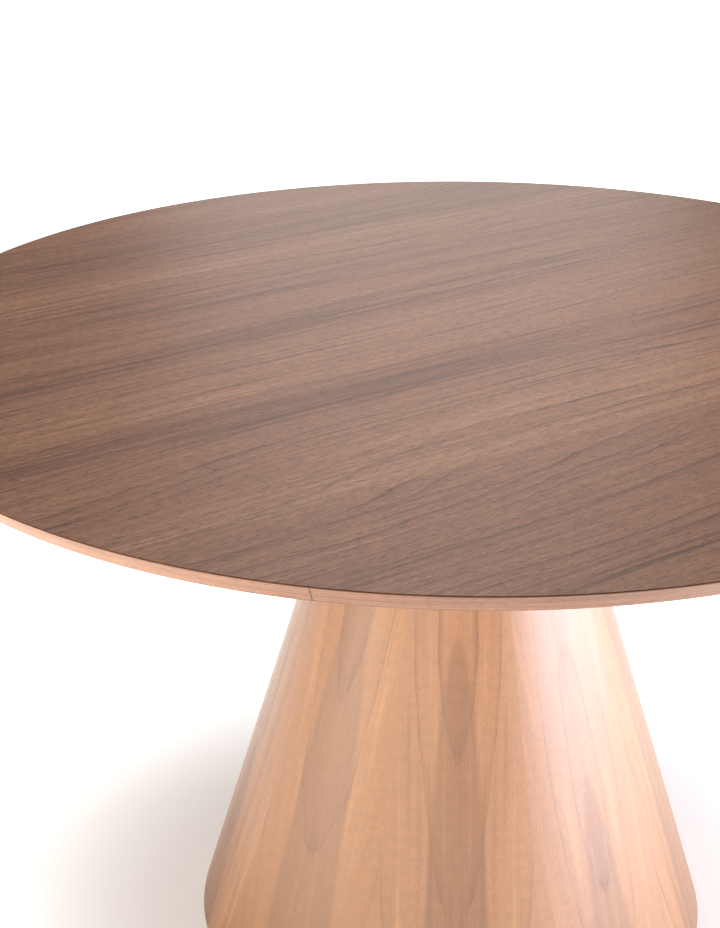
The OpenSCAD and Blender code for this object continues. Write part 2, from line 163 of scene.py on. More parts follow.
def walnut(tree, grain, across, look):
    """Colour, roughness and relief of a walnut surface.

    grain is a vector in metres with the grain along its X, and across is the distance in
    metres through the growth rings.
    """
    # Growth rings wander: a slow sway of the whole figure and a short wiggle of each line
    sway = stretched_noise(tree, grain, look.sway_length, look.sway_length * 0.3, 1.0)
    wiggle = stretched_noise(tree, grain, *WIGGLE, 2.0)
    sway = add(tree, "ShaderNodeMath", {0: sway, 1: look.sway * MM, 2: across},
               operation="MULTIPLY_ADD").outputs[0]
    rings = add(tree, "ShaderNodeMath", {0: wiggle, 1: look.wiggle * MM, 2: sway},
                operation="MULTIPLY_ADD").outputs[0]
    fray = stretched_noise(tree, grain, *FRAY, 3.0, 0.65)
    rings = add(tree, "ShaderNodeMath", {0: fray, 1: look.fray * MM, 2: rings},
                operation="MULTIPLY_ADD").outputs[0]

    # Their spacing changes from wide to narrow
    place = add(tree, "ShaderNodeMath", {0: rings, 1: 1 / SPREAD_REACH},
                operation="MULTIPLY").outputs[0]
    spread = add(tree, "ShaderNodeTexNoise", {"W": place, "Scale": 1.0, "Detail": 1.0},
                 noise_dimensions="1D").outputs["Fac"]
    count = add(tree, "ShaderNodeMath", {0: rings, 1: 1000 / look.ring_spacing},
                operation="MULTIPLY").outputs[0]
    count = add(tree, "ShaderNodeMath", {0: spread, 1: look.ring_spread, 2: count},
                operation="MULTIPLY_ADD").outputs[0]
    turn = add(tree, "ShaderNodeMath", {0: count}, operation="FRACT").outputs[0]
    year = add(tree, "ShaderNodeMath", {0: count}, operation="FLOOR").outputs[0]
    year_tone = add(tree, "ShaderNodeTexWhiteNoise", {"W": year},
                    noise_dimensions="1D").outputs["Value"]

    # Late wood darkens slowly and stops short; each year has its own strength
    late = add(tree, "ShaderNodeValToRGB", {"Fac": turn}, ramp=[
        (0.0, grey(0.55)), (0.045, grey(0.0)), (0.40, grey(0.03)), (0.80, grey(0.26)),
        (0.93, grey(0.62)), (0.975, grey(1.0)), (1.0, grey(0.75))]).outputs[0]
    strength = add(tree, "ShaderNodeMapRange", {
        "Value": year_tone, "From Min": 0.15, "From Max": 0.95, "To Min": look.ring_least,
        "To Max": 1.0}).outputs[0]
    broken = add(tree, "ShaderNodeMapRange", {
        "Value": stretched_noise(tree, grain, *BREAK, 3.0, 0.6),
        "From Min": 0.36, "From Max": 0.62, "To Min": 0.15, "To Max": 1.0}).outputs[0]
    for share in (strength, broken, look.ring_depth):
        late = add(tree, "ShaderNodeMath", {0: late, 1: share}, operation="MULTIPLY").outputs[0]

    # Body colour: broad bands, then streaks a few millimetres wide
    bands = stretched_noise(tree, grain, *BROAD_BAND, 3.0, 0.6)
    streaks = stretched_noise(tree, grain, STREAK_LENGTH, look.streak * MM, 3.0, 0.62)
    body = add(tree, "ShaderNodeMath", {0: streaks, 1: STREAK_SHARE},
               operation="MULTIPLY").outputs[0]
    body = add(tree, "ShaderNodeMath", {0: bands, 1: BAND_SHARE, 2: body},
               operation="MULTIPLY_ADD").outputs[0]
    centre = (BAND_SHARE + STREAK_SHARE) / 2
    body = add(tree, "ShaderNodeMapRange", {
        "Value": body, "From Min": centre - look.spread,
        "From Max": centre + look.spread}).outputs[0]
    body = add(tree, "ShaderNodeValToRGB", {"Fac": body}, ramp=[
        (0.0, look.dark), (0.42, look.middle), (0.60, look.middle),
        (1.0, look.light)]).outputs[0]
    colour = add(tree, "ShaderNodeMix", {0: late, 6: body, 7: look.late_wood},
                 data_type="RGBA").outputs[2]

    # Fibres, a cloudy mottle across them, and pores as short dark ticks
    fibre = stretched_noise(tree, grain, *FIBRE, 2.0, 0.75)
    fibre_tone = add(tree, "ShaderNodeMapRange", {
        "Value": fibre, "From Min": 0.30, "From Max": 0.70,
        "To Min": 1 - look.fibre, "To Max": 1 + look.fibre}).outputs[0]
    mottle = add(tree, "ShaderNodeMapRange", {
        "Value": stretched_noise(tree, grain, *MOTTLE, 1.5, 0.6),
        "From Min": 0.3, "From Max": 0.7,
        "To Min": 1 - look.mottle, "To Max": 1 + look.mottle}).outputs[0]
    tone = add(tree, "ShaderNodeMath", {0: fibre_tone, 1: mottle}, operation="MULTIPLY").outputs[0]
    colour = add(tree, "ShaderNodeVectorMath", {0: colour, "Scale": tone},
                 operation="SCALE").outputs[0]
    pore_noise = stretched_noise(tree, grain, *PORE, 1.0, 0.5)
    pores = add(tree, "ShaderNodeMapRange", {
        "Value": pore_noise, "From Min": 0.55, "From Max": 0.70,
        "To Min": 0.0, "To Max": look.pores}).outputs[0]
    colour = add(tree, "ShaderNodeMix", {0: pores, 6: colour, 7: look.pore},
                 data_type="RGBA").outputs[2]

    # Open pores and raised fibres under a thin lacquer
    roughness = add(tree, "ShaderNodeMapRange", {
        "Value": fibre, "From Min": 0.3, "From Max": 0.7,
        "To Min": look.roughness - 0.05, "To Max": look.roughness + 0.06}).outputs[0]
    relief = add(tree, "ShaderNodeMath", {0: fibre, 1: 0.5}, operation="MULTIPLY").outputs[0]
    relief = add(tree, "ShaderNodeMath", {0: relief, 1: pores}, operation="SUBTRACT").outputs[0]
    return colour, roughness, relief


def flat_veneer(name, look):
    """Walnut veneer on a flat board, its grain along X.

    It is sliced lengthways, glued down and sprayed with satin lacquer. The slicing gives long
    wandering growth rings, and the thin lacquer leaves the pores open and the gloss soft.
    """
    material, tree = new_material(name)
    place = add(tree, "ShaderNodeTexCoord").outputs["Object"]
    grain = add(tree, "ShaderNodeMapping", {
        "Vector": place, "Location": look.place}).outputs[0]
    across = add(tree, "ShaderNodeSeparateXYZ", {0: grain}).outputs["Y"]
    finish_surface(tree, *walnut(tree, grain, across, look), look.relief * MM, look.specular)
    return material


def leaf_veneer(name, look):
    """Walnut veneer laid up in upright leaves, each with the grain along U of its own UV map.

    Neighbours are book-matched, so a flame is whole across their joint. The lacquer is thicker
    here than on the top, and gives a broad sheen down the cone's side.
    """
    material, tree = new_material(name)
    grain = add(tree, "ShaderNodeUVMap", uv_map="leaf").outputs[0]
    # A crown-cut leaf shows nested flames: the rings dive away from the book-matched joint
    height = add(tree, "ShaderNodeAttribute", attribute_name="rise").outputs["Fac"]
    side = add(tree, "ShaderNodeAttribute", attribute_name="side").outputs["Fac"]
    rise = add(tree, "ShaderNodeMath", {0: height, 1: FLAME_SLOPE},
               operation="MULTIPLY").outputs[0]
    square = add(tree, "ShaderNodeMath", {0: side, 1: side}, operation="MULTIPLY").outputs[0]
    dive = add(tree, "ShaderNodeMath", {0: rise, 1: rise, 2: square},
               operation="MULTIPLY_ADD").outputs[0]
    across = add(tree, "ShaderNodeMath", {0: dive}, operation="SQRT").outputs[0]
    colour, roughness, relief = walnut(tree, grain, across, look)
    # Under the crown's peak the heartwood shows as a darker tongue that widens downwards
    depth = add(tree, "ShaderNodeMath", {0: height, 1: -TONGUE_WIDTH ** 2},
                operation="MULTIPLY").outputs[0]
    depth = add(tree, "ShaderNodeMath", {0: depth, 1: 0.0}, operation="MAXIMUM").outputs[0]
    edge = add(tree, "ShaderNodeMath", {0: depth}, operation="SQRT").outputs[0]
    ragged = stretched_noise(tree, grain, 0.070, 0.008, 2.0)
    edge = add(tree, "ShaderNodeMath", {0: ragged, 1: 8 * MM, 2: edge},
               operation="MULTIPLY_ADD").outputs[0]
    inside = add(tree, "ShaderNodeMath", {0: edge, 1: side}, operation="SUBTRACT").outputs[0]
    tongue = add(tree, "ShaderNodeMapRange", {
        "Value": inside, "From Min": 2.5 * MM, "From Max": 9 * MM, "To Min": 0.0,
        "To Max": 0.34}).outputs[0]
    colour = add(tree, "ShaderNodeMix", {0: tongue, 6: colour, 7: look.late_wood},
                 data_type="RGBA").outputs[2]
    # The two faces of a book-matched pair throw the light back differently
    tone = add(tree, "ShaderNodeAttribute", attribute_name="tone").outputs["Fac"]
    tint = add(tree, "ShaderNodeMix", {0: tone, 6: linear("FFF1D6"), 7: linear("FAF0EC")},
               data_type="RGBA").outputs[2]
    colour = add(tree, "ShaderNodeVectorMath", {0: colour, 1: tint},
                 operation="MULTIPLY").outputs[0]
    finish_surface(tree, colour, roughness, relief, look.relief * MM, look.specular)
    return material


def band_veneer(name, look):
    """A strip of walnut veneer ironed on round the rim and lacquered.

    Its UV map has U as the distance from the butt joint and V down the face, in metres. The
    strip's fine straight lines run along the rim.
    """
    material, tree = new_material(name)
    grain = add(tree, "ShaderNodeUVMap", uv_map="leaf").outputs[0]
    parts = add(tree, "ShaderNodeSeparateXYZ", {0: grain})
    across = parts.outputs["Y"]
    colour, roughness, relief = walnut(tree, grain, across, look)
    # Squeezed-out glue stains the band's two ends dark; its top millimetres are darkened by glue
    # stain and by painted shade under the arris
    glue_and_painted_shade = add(tree, "ShaderNodeMapRange", {
        "Value": across, "From Min": 2.0 * MM, "From Max": 3.4 * MM,
        "To Min": 0.9, "To Max": 0.0}).outputs[0]
    ends = add(tree, "ShaderNodeMapRange", {
        "Value": parts.outputs["X"], "From Min": 0.4 * MM, "From Max": 1.0 * MM,
        "To Min": 0.6, "To Max": 0.0}).outputs[0]
    glue_and_painted_shade = add(tree, "ShaderNodeMath", {0: glue_and_painted_shade, 1: ends}, operation="MAXIMUM").outputs[0]
    colour = add(tree, "ShaderNodeMix", {0: glue_and_painted_shade, 6: colour, 7: look.pore},
                 data_type="RGBA").outputs[2]
    finish_surface(tree, colour, roughness, relief, look.relief * MM, look.specular)
    return material


def solid_walnut(name, look, turn):
    """Planed and oiled solid walnut; turn, in degrees, brings the board's length to X.

    The rings lie round a heart line above the board, so that its ends show arcs and its faces
    stripes. The oil leaves it darker and duller than the lacquered veneer.
    """
    material, tree = new_material(name)
    place = add(tree, "ShaderNodeTexCoord").outputs["Object"]
    grain = add(tree, "ShaderNodeMapping", {
        "Vector": place, "Rotation": (0, 0, math.radians(turn))}).outputs[0]
    offset = add(tree, "ShaderNodeVectorMath", {0: grain, 1: (0, 0, HEART_HEIGHT)},
                 operation="SUBTRACT").outputs[0]
    flat = add(tree, "ShaderNodeVectorMath", {0: offset, 1: (0, 1, 1)},
               operation="MULTIPLY").outputs[0]
    across = add(tree, "ShaderNodeVectorMath", {0: flat}, operation="LENGTH").outputs["Value"]
    finish_surface(tree, *walnut(tree, grain, across, look), look.relief * MM, look.specular)
    return material


class Look:
    """The settings of one walnut surface.

    In millimetres: sway, wiggle and fray, the drifts of the growth rings; ring_spacing;
    streak, the streaks' width; and relief. In metres: sway_length and place. The others are
    strengths from 0 to 1, except ring_spread, in rings.
    """

    def __init__(self, wood, **changes):
        for part in ("light", "middle", "dark", "late_wood", "pore"):
            setattr(self, part, tuple(getattr(colours(), f"{wood}_{part}")))
        self.sway = 150.0
        self.sway_length = 0.75
        self.wiggle = 13.0
        self.fray = 2.4
        self.streak = 4.8
        self.spread = 0.185
        self.ring_spacing = 13.0
        self.ring_spread = 5.0
        self.ring_depth = 1.0
        self.ring_least = 0.12
        self.fibre = 0.27
        self.mottle = 0.05
        self.pores = 0.62
        self.roughness = 0.42
        self.relief = 0.05
        self.specular = 0.5
        self.place = (0.0, 0.0, 0.0)
        self.__dict__.update(changes)


# ---- other finishes

def plywood(name):
    """Sanded raw birch plywood: pale straight grain with no gloss."""
    material, tree = new_material(name)
    place = add(tree, "ShaderNodeTexCoord").outputs["Object"]
    streaks = stretched_noise(tree, place, 0.220, 0.004, 3.0, 0.6)
    fibre = stretched_noise(tree, place, 0.020, 0.0008, 2.0, 0.6)
    colour = add(tree, "ShaderNodeValToRGB", {"Fac": streaks}, ramp=[
        (0.3, linear("C09A6C")), (0.55, linear("D6B488")), (0.8, linear("E2C69C"))]).outputs[0]
    roughness = add(tree, "ShaderNodeMapRange", {
        "Value": fibre, "To Min": 0.62, "To Max": 0.8}).outputs[0]
    finish_surface(tree, colour, roughness, fibre, 0.06 * MM, 0.3)
    return material


def beech(name):
    """Planed beech: pinkish tan, flecked by the darker rays that planing cuts through."""
    material, tree = new_material(name)
    place = add(tree, "ShaderNodeTexCoord").outputs["Object"]
    upright = add(tree, "ShaderNodeMapping", {
        "Vector": place, "Rotation": (0, math.radians(90), 0)}).outputs[0]
    rays = stretched_noise(tree, upright, 0.006, 0.0011, 1.0, 0.5)
    tone = stretched_noise(tree, upright, 0.300, 0.012, 3.0, 0.6)
    body = add(tree, "ShaderNodeValToRGB", {"Fac": tone}, ramp=[
        (0.3, linear("B98A63")), (0.7, linear("D2A67C"))]).outputs[0]
    share = add(tree, "ShaderNodeMapRange", {
        "Value": rays, "From Min": 0.6, "From Max": 0.75, "To Min": 0.0, "To Max": 0.5}).outputs[0]
    colour = add(tree, "ShaderNodeMix", {0: share, 6: body, 7: linear("8A5D3D")},
                 data_type="RGBA").outputs[2]
    roughness = add(tree, "ShaderNodeMapRange", {
        "Value": tone, "To Min": 0.5, "To Max": 0.65}).outputs[0]
    finish_surface(tree, colour, roughness, rays, 0.04 * MM, 0.35)
    return material


def fibreboard(name):
    """Pressed raw fibreboard: matted tan fibres a millimetre or two long, and quite dull."""
    material, tree = new_material(name)
    place = add(tree, "ShaderNodeTexCoord").outputs["Object"]
    fluff = stretched_noise(tree, place, 0.0016, 0.0016, 3.0, 0.7)
    patches = stretched_noise(tree, place, 0.020, 0.020, 2.0, 0.5)
    mixed = add(tree, "ShaderNodeMath", {0: patches, 1: 0.4, 2: fluff},
                operation="MULTIPLY_ADD").outputs[0]
    colour = add(tree, "ShaderNodeValToRGB", {"Fac": mixed}, ramp=[
        (0.45, linear("8E6E4C")), (0.75, linear("B39066")), (1.0, linear("C8A87E"))]).outputs[0]
    roughness = add(tree, "ShaderNodeMapRange", {
        "Value": fluff, "To Min": 0.75, "To Max": 0.95}).outputs[0]
    finish_surface(tree, colour, roughness, fluff, 0.08 * MM, 0.25)
    return material


def metal(name, colour, wear_colour, roughness, scratch, coarse):
    """Brushed brass or plated steel: drawn-out scratches under a tone clouded by handling.

    scratch is the scratches' depth in millimetres, and coarse the clouds' size in metres. The
    scratches are drawn half a millimetre apart, wider than a brush leaves them.
    """
    material, tree = new_material(name)
    place = add(tree, "ShaderNodeTexCoord").outputs["Object"]
    lines = stretched_noise(tree, place, 0.012, 0.0005, 2.0, 0.6)
    clouds = stretched_noise(tree, place, coarse, coarse, 3.0, 0.6)
    tint = add(tree, "ShaderNodeMapRange", {
        "Value": clouds, "From Min": 0.4, "From Max": 0.7}).outputs[0]
    body = add(tree, "ShaderNodeMix", {0: tint, 6: colour, 7: wear_colour},
               data_type="RGBA").outputs[2]
    rough = add(tree, "ShaderNodeMapRange", {
        "Value": clouds, "To Min": roughness - 0.06, "To Max": roughness + 0.12}).outputs[0]
    bump = add(tree, "ShaderNodeBump", {
        "Height": lines, "Distance": scratch * MM, "Strength": 1.0})
    shader = add(tree, "ShaderNodeBsdfPrincipled", {
        "Base Color": body, "Roughness": rough, "Metallic": 1.0, "Normal": bump.outputs[0]})
    add(tree, "ShaderNodeOutputMaterial", {"Surface": shader.outputs[0]})
    return material


def matt_black(name, colour, roughness, grit, depth):
    """Moulded rubber or nylon, or sprayed powder paint: a fine grit scatters the light.

    grit is the grains' size and depth their relief, in millimetres.
    """
    material, tree = new_material(name)
    place = add(tree, "ShaderNodeTexCoord").outputs["Object"]
    grains = stretched_noise(tree, place, grit * MM, grit * MM, 3.0, 0.65)
    dust = stretched_noise(tree, place, 0.015, 0.015, 3.0, 0.6)
    share = add(tree, "ShaderNodeMapRange", {
        "Value": dust, "From Min": 0.45, "From Max": 0.75,
        "To Min": 0.0, "To Max": 0.35}).outputs[0]
    body = add(tree, "ShaderNodeMix", {0: share, 6: colour, 7: linear("4A4846")},
               data_type="RGBA").outputs[2]
    rough = add(tree, "ShaderNodeMapRange", {
        "Value": grains, "To Min": roughness - 0.08, "To Max": roughness + 0.08}).outputs[0]
    finish_surface(tree, body, rough, grains, depth * MM)
    return material


# ---- shaping

def deselect():
    """Leaves nothing selected, in object mode."""
    if bpy.context.object and bpy.context.object.mode != "OBJECT":
        bpy.ops.object.mode_set(mode="OBJECT")
    bpy.ops.object.select_all(action="DESELECT")


def pick(piece):
    """Makes a piece the only selected object."""
    deselect()
    piece.select_set(True)
    bpy.context.view_layer.objects.active = piece


def select_by(piece, kind, wanted):
    """In edit mode, selects the vertices, edges or faces for which wanted(element) is true."""
    bpy.ops.mesh.select_mode(type=kind)
    mesh = bmesh.from_edit_mesh(piece.data)
    elements = {"VERT": mesh.verts, "EDGE": mesh.edges, "FACE": mesh.faces}[kind]
    bpy.ops.mesh.select_all(action="DESELECT")
    for element in elements:
        element.select_set(bool(wanted(element)))
    mesh.select_flush_mode()
    bmesh.update_edit_mesh(piece.data)


def clean_up(piece, angle):
    """Merges doubles, points the faces outwards and smooths all but the sharp edges."""
    pick(piece)
    bpy.ops.object.mode_set(mode="EDIT")
    bpy.ops.mesh.select_all(action="SELECT")
    bpy.ops.mesh.remove_doubles(threshold=1e-6)
    bpy.ops.mesh.normals_make_consistent(inside=False)
    bpy.ops.object.mode_set(mode="OBJECT")
    bpy.ops.object.shade_smooth_by_angle(angle=math.radians(angle))


def settle(piece, name, material, body, slot, *nodes):
    """Names a finished piece, gives it its finish and lets it ride in place of its CAD nodes."""
    pick(piece)
    bpy.ops.object.transform_apply(location=True, rotation=True, scale=True)
    piece.name = name
    piece.data.name = name
    piece.data.materials.clear()
    piece.data.materials.append(material)
    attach(piece, body)
    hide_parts(*nodes)


def eased_copy(node, ease):
    """A copy of a CAD node with its triangles joined into faces and its arrises eased."""
    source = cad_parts[node]
    piece = bpy.data.objects.new(node + "_eased", source.data.copy())
    bpy.context.scene.collection.objects.link(piece)
    pick(piece)
    bpy.ops.object.mode_set(mode="EDIT")
    bpy.ops.mesh.select_all(action="SELECT")
    bpy.ops.mesh.remove_doubles(threshold=1e-6)
    bpy.ops.mesh.dissolve_limited(angle_limit=math.radians(0.5))
    bpy.ops.object.mode_set(mode="OBJECT")
    bevel = piece.modifiers.new("ease", "BEVEL")
    bevel.width = ease
    bevel.segments = 2
    bevel.limit_method = "ANGLE"
    bevel.angle_limit = math.radians(35)
    bevel.use_clamp_overlap = True
    bpy.ops.object.modifier_apply(modifier=bevel.name)
    bpy.ops.object.shade_smooth_by_angle(angle=math.radians(40))
    # Broad faces keep their flat look, and only the eased strips turn
    flatten = piece.modifiers.new("flatten", "WEIGHTED_NORMAL")
    flatten.keep_sharp = True
    bpy.ops.object.modifier_apply(modifier=flatten.name)
    return piece


def coat(node, material):
    """Gives a CAD node that keeps its shape its finish."""
    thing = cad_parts[node]
    for slot in thing.material_slots:
        slot.material = material


# ---- settings

class TableSizes(bpy.types.PropertyGroup):
    """Sizes of the details that are finer than the CAD."""

    arris: bpy.props.FloatProperty(
        name="Arris", description="Rounding of the veneered edges", default=0.4 * MM,
        min=0.1 * MM, max=0.6 * MM, unit="LENGTH")
    wood_ease: bpy.props.FloatProperty(
        name="Wood ease", description="Rounding of the solid wood's edges", default=1.2 * MM,
        min=0.3 * MM, max=2 * MM, unit="LENGTH")
    metal_ease: bpy.props.FloatProperty(
        name="Metal ease", description="Rounding of the metal's edges", default=0.3 * MM,
        min=0.1 * MM, max=0.5 * MM, unit="LENGTH")
    rim_steps: bpy.props.IntProperty(
        name="Rim steps", description="Straight pieces that draw the rim", default=480,
        min=96, max=720)
    # Down to this line the band's top, darkened by glue stain and painted shade, has no gloss
    glue_and_shade_line: bpy.props.FloatProperty(
        name="Stain line", description="Height of the edge band's top that glue has stained",
        default=1.2 * MM, min=0.5 * MM, max=3 * MM, unit="LENGTH")
    leaf_count: bpy.props.IntProperty(
        name="Leaves", description="Leaves of veneer round the pedestal", default=18,
        min=12, max=24)
    leaf_turn: bpy.props.FloatProperty(
        name="Leaf turn", description="Direction of the first joint between leaves",
        default=math.radians(-5), subtype="ANGLE")
    band_joint: bpy.props.FloatProperty(
        name="Band joint", description="Direction of the edge band's butt joint",
        default=math.radians(-136.8), subtype="ANGLE")
    camera_turn: bpy.props.FloatProperty(
        name="Camera turn", description="How far the view is turned round the table",
        default=math.radians(-33), subtype="ANGLE")


def shade(name, description, hex_colour):
    """A colour property with its default as sRGB hex."""
    return bpy.props.FloatVectorProperty(
        name=name, description=description, default=linear(hex_colour), size=4, min=0.0,
        max=1.0, subtype="COLOR")


class TableColours(bpy.types.PropertyGroup):
    """Colours of the woods and metals."""

    face_light: shade("Face, light", "Palest streaks of the top", "B08062")
    face_middle: shade("Face, middle", "Body of the top", "9B6C51")
    face_dark: shade("Face, dark", "Darkest streaks of the top", "744D3B")
    face_late_wood: shade("Face, late wood", "Growth lines of the top", "452E24")
    face_pore: shade("Face, pores", "Pores of the top", "3A251C")
    band_light: shade("Band, light", "Palest streaks of the edge band", "AA7C5A")
    band_middle: shade("Band, middle", "Body of the edge band", "8B6145")
    band_dark: shade("Band, dark", "Darkest streaks of the edge band", "714D36")
    band_late_wood: shade("Band, late wood", "Growth lines of the edge band", "452A1E")
    # The band's pore colour also paints the glue stain and the painted shade along the band's top
    band_pore: shade("Band, pores", "Pores and glue stain of the edge band", "3E251B")
    # The pedestal's leaves are paler than the top's face: partly a paler veneer, partly painted
    # light for the stronger light on the cone's side
    leaf_light: shade("Leaf, light", "Palest streaks of the pedestal", "CA9B70")
    leaf_middle: shade("Leaf, middle", "Body of the pedestal", "B0825D")
    leaf_dark: shade("Leaf, dark", "Darkest streaks of the pedestal", "8F6647")
    leaf_late_wood: shade("Leaf, late wood", "Growth lines of the pedestal", "6B4731")
    leaf_pore: shade("Leaf, pores", "Pores of the pedestal", "5E3F2B")
    board_light: shade("Board, light", "Palest streaks of the solid walnut", "7E5C48")
    board_middle: shade("Board, middle", "Body of the solid walnut", "694A3A")
    board_dark: shade("Board, dark", "Darkest streaks of the solid walnut", "51382C")
    board_late_wood: shade("Board, late wood", "Growth lines of the solid walnut", "35221B")
    board_pore: shade("Board, pores", "Pores of the solid walnut", "3A251C")
    backing_light: shade("Backing, light", "Palest streaks under the top", "8A6A56")
    backing_middle: shade("Backing, middle", "Body under the top", "755646")
    backing_dark: shade("Backing, dark", "Darkest streaks under the top", "5A4033")
    backing_late_wood: shade("Backing, late wood", "Growth lines under the top", "452E24")
    backing_pore: shade("Backing, pores", "Pores under the top", "3A251C")
    brass: shade("Brass", "Clean brass of the catch", "CDAC6C")
    zinc: shade("Zinc", "Clean zinc plate of the screws and pivots", "C4C6C8")
    rubber: shade("Rubber", "Rest pads and stop pad", "17171A")
    nylon: shade("Nylon", "Glide pads and pivot washers", "1B1A19")


def sizes():
    """The scene's table sizes."""
    return bpy.context.scene.table_sizes


def colours():
    """The scene's table colours."""
    return bpy.context.scene.table_colours


# ---- pieces

class TABLE_OT_face_veneer(bpy.types.Operator):
    """The veneer on the top's face, with an eased arris"""

    bl_idname = "table.face_veneer"
    bl_label = "Face veneer"

    def execute(self, context):
        low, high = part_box("top_veneer")
        radius = high.x
        thick = high.z - low.z
        band_low, band_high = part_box("edge_band")
        slope = (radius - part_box("back_veneer")[1].x) / (band_high.z - band_low.z)
        # The thin edge leans in a little more than half as much as the band's face
        lean = 0.55 * slope * thick
        deselect()
        bpy.ops.mesh.primitive_circle_add(
            vertices=sizes().rim_steps, radius=radius - lean, fill_type="NGON",
            location=(0, 0, low.z))
        piece = context.object
        bpy.ops.object.transform_apply(location=True)
        bpy.ops.object.mode_set(mode="EDIT")
        bpy.ops.mesh.select_all(action="SELECT")
        bpy.ops.mesh.extrude_region_move(TRANSFORM_OT_translate={"value": (0, 0, thick)})
        grow = radius / (radius - lean)
        bpy.ops.transform.resize(value=(grow, grow, 1), center_override=(0, 0, 0))
        select_by(piece, "EDGE", lambda e: all(v.co.z > high.z - 1e-6 for v in e.verts))
        bpy.ops.mesh.bevel(offset=sizes().arris, segments=3, affect="EDGES")
        bpy.ops.object.mode_set(mode="OBJECT")
        clean_up(piece, 50)
        sheet = Look("face", place=(0.8, -0.30, 0.0))
        settle(piece, "face_veneer", flat_veneer("walnut_veneer_satin_lacquer", sheet),
               "top", "top_walnut", "top_veneer")
        # The veneer's cut edge and eased arris are dark and dull: glue soaked into the cut edge,
        # and painted shade along the arris
        edge = Look("face", light=linear("543829"), middle=linear("442C20"),
                    dark=linear("36231A"), late_wood=linear("2E1D16"), ring_depth=0.3,
                    fibre=0.15, pores=0.3, roughness=0.6, specular=0.0)
        piece.data.materials.append(flat_veneer("dark_glued_veneer_edge", edge))
        for face in piece.data.polygons:
            if face.normal.z < UPWARD:
                face.material_index = 1
            else:
                face.use_smooth = False
        return {"FINISHED"}


class TABLE_OT_edge_band(bpy.types.Operator):
    """The leaning band round the edge, closed by one butt joint"""

    bl_idname = "table.edge_band"
    bl_label = "Edge band"

    def execute(self, context):
        low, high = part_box("edge_band")
        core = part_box("top_core")[1].x
        thick = high.x - core
        lean = high.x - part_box("back_veneer")[1].x - thick
        tall = high.z - low.z
        middle = Vector((high.x - thick / 2, 0, (low.z + high.z) / 2))
        deselect()
        bpy.ops.mesh.primitive_plane_add(size=1, location=middle, rotation=(math.radians(90), 0, 0))
        piece = context.object
        bpy.ops.object.transform_apply(location=True, rotation=True, scale=True)
        bpy.ops.object.mode_set(mode="EDIT")
        bpy.ops.mesh.select_all(action="SELECT")
        bpy.ops.transform.resize(value=(thick, 1, tall), center_override=middle)
        select_by(piece, "VERT", lambda v: v.co.z < middle.z)
        bpy.ops.transform.translate(value=(-lean, 0, 0))
        select_by(piece, "VERT", lambda v: v.co.z < middle.z)
        bpy.ops.mesh.bevel(offset=sizes().arris, segments=3, affect="VERTICES")
        bpy.ops.mesh.select_all(action="SELECT")
        gap = BUTT_GAP / high.x
        bpy.ops.mesh.spin(steps=sizes().rim_steps, angle=gap - math.tau, center=(0, 0, 0),
                          axis=(0, 0, 1))
        # A cut round the band parts its top, darkened by glue stain and painted shade, from the
        # clean face
        bpy.ops.mesh.select_all(action="SELECT")
        glue_and_shade_top = high.z - sizes().glue_and_shade_line
        bpy.ops.mesh.bisect(plane_co=(0, 0, glue_and_shade_top), plane_no=(0, 0, 1))
        bpy.ops.object.mode_set(mode="OBJECT")
        clean_up(piece, 30)
        uv = piece.data.uv_layers.new(name="leaf")
        for loop in piece.data.loops:
            spot = piece.data.vertices[loop.vertex_index].co
            turn = (math.atan2(spot.y, spot.x) + gap / 2) % math.tau
            # The figure is mirrored about the joint, so that its two ends match
            turn = min(turn, math.tau - turn)
            uv.data[loop.index].uv = (turn * high.x, high.z + thick - spot.z)
        piece.rotation_euler.z = sizes().band_joint
        look = Look("band", specular=0.7, ring_least=0.2, sway=5.0, sway_length=0.5,
                    wiggle=0.9, ring_spacing=3.6, fray=0.5, streak=2.0, spread=0.12,
                    ring_spread=8.0, ring_depth=0.6, fibre=0.22, mottle=0.03, pores=0.5,
                    roughness=0.45)
        settle(piece, "edge_band_veneer", band_veneer("walnut_edge_band_lacquered", look),
               "top", "edge_walnut", "edge_band")
        # The top strip, darkened by glue stain and painted shade, gets no gloss so that it stays
        # dark
        look.specular = 0.0
        piece.data.materials.append(band_veneer("walnut_band_stained_by_glue", look))
        for face in piece.data.polygons:
            if face.center.z > glue_and_shade_top:
                face.material_index = 1
        return {"FINISHED"}


class TABLE_OT_board(bpy.types.Operator):
    """The core board and its backing veneer"""

    bl_idname = "table.board"
    bl_label = "Board and backing"

    def execute(self, context):
        coat("top_core", fibreboard("raw_fibreboard"))
        backing = Look("backing", ring_depth=0.55, roughness=0.58, place=(0.31, 0.17, 0))
        coat("back_veneer", flat_veneer("walnut_backing_veneer_matt", backing))
        return {"FINISHED"}


def head_radius():
    """Outer radius of the cone at its head, from the CAD veneer's highest points."""
    top_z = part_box("pedestal_veneer")[1].z
    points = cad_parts["pedestal_veneer"].data.vertices
    return max(math.hypot(v.co.x, v.co.y) for v in points if v.co.z > top_z - MM)


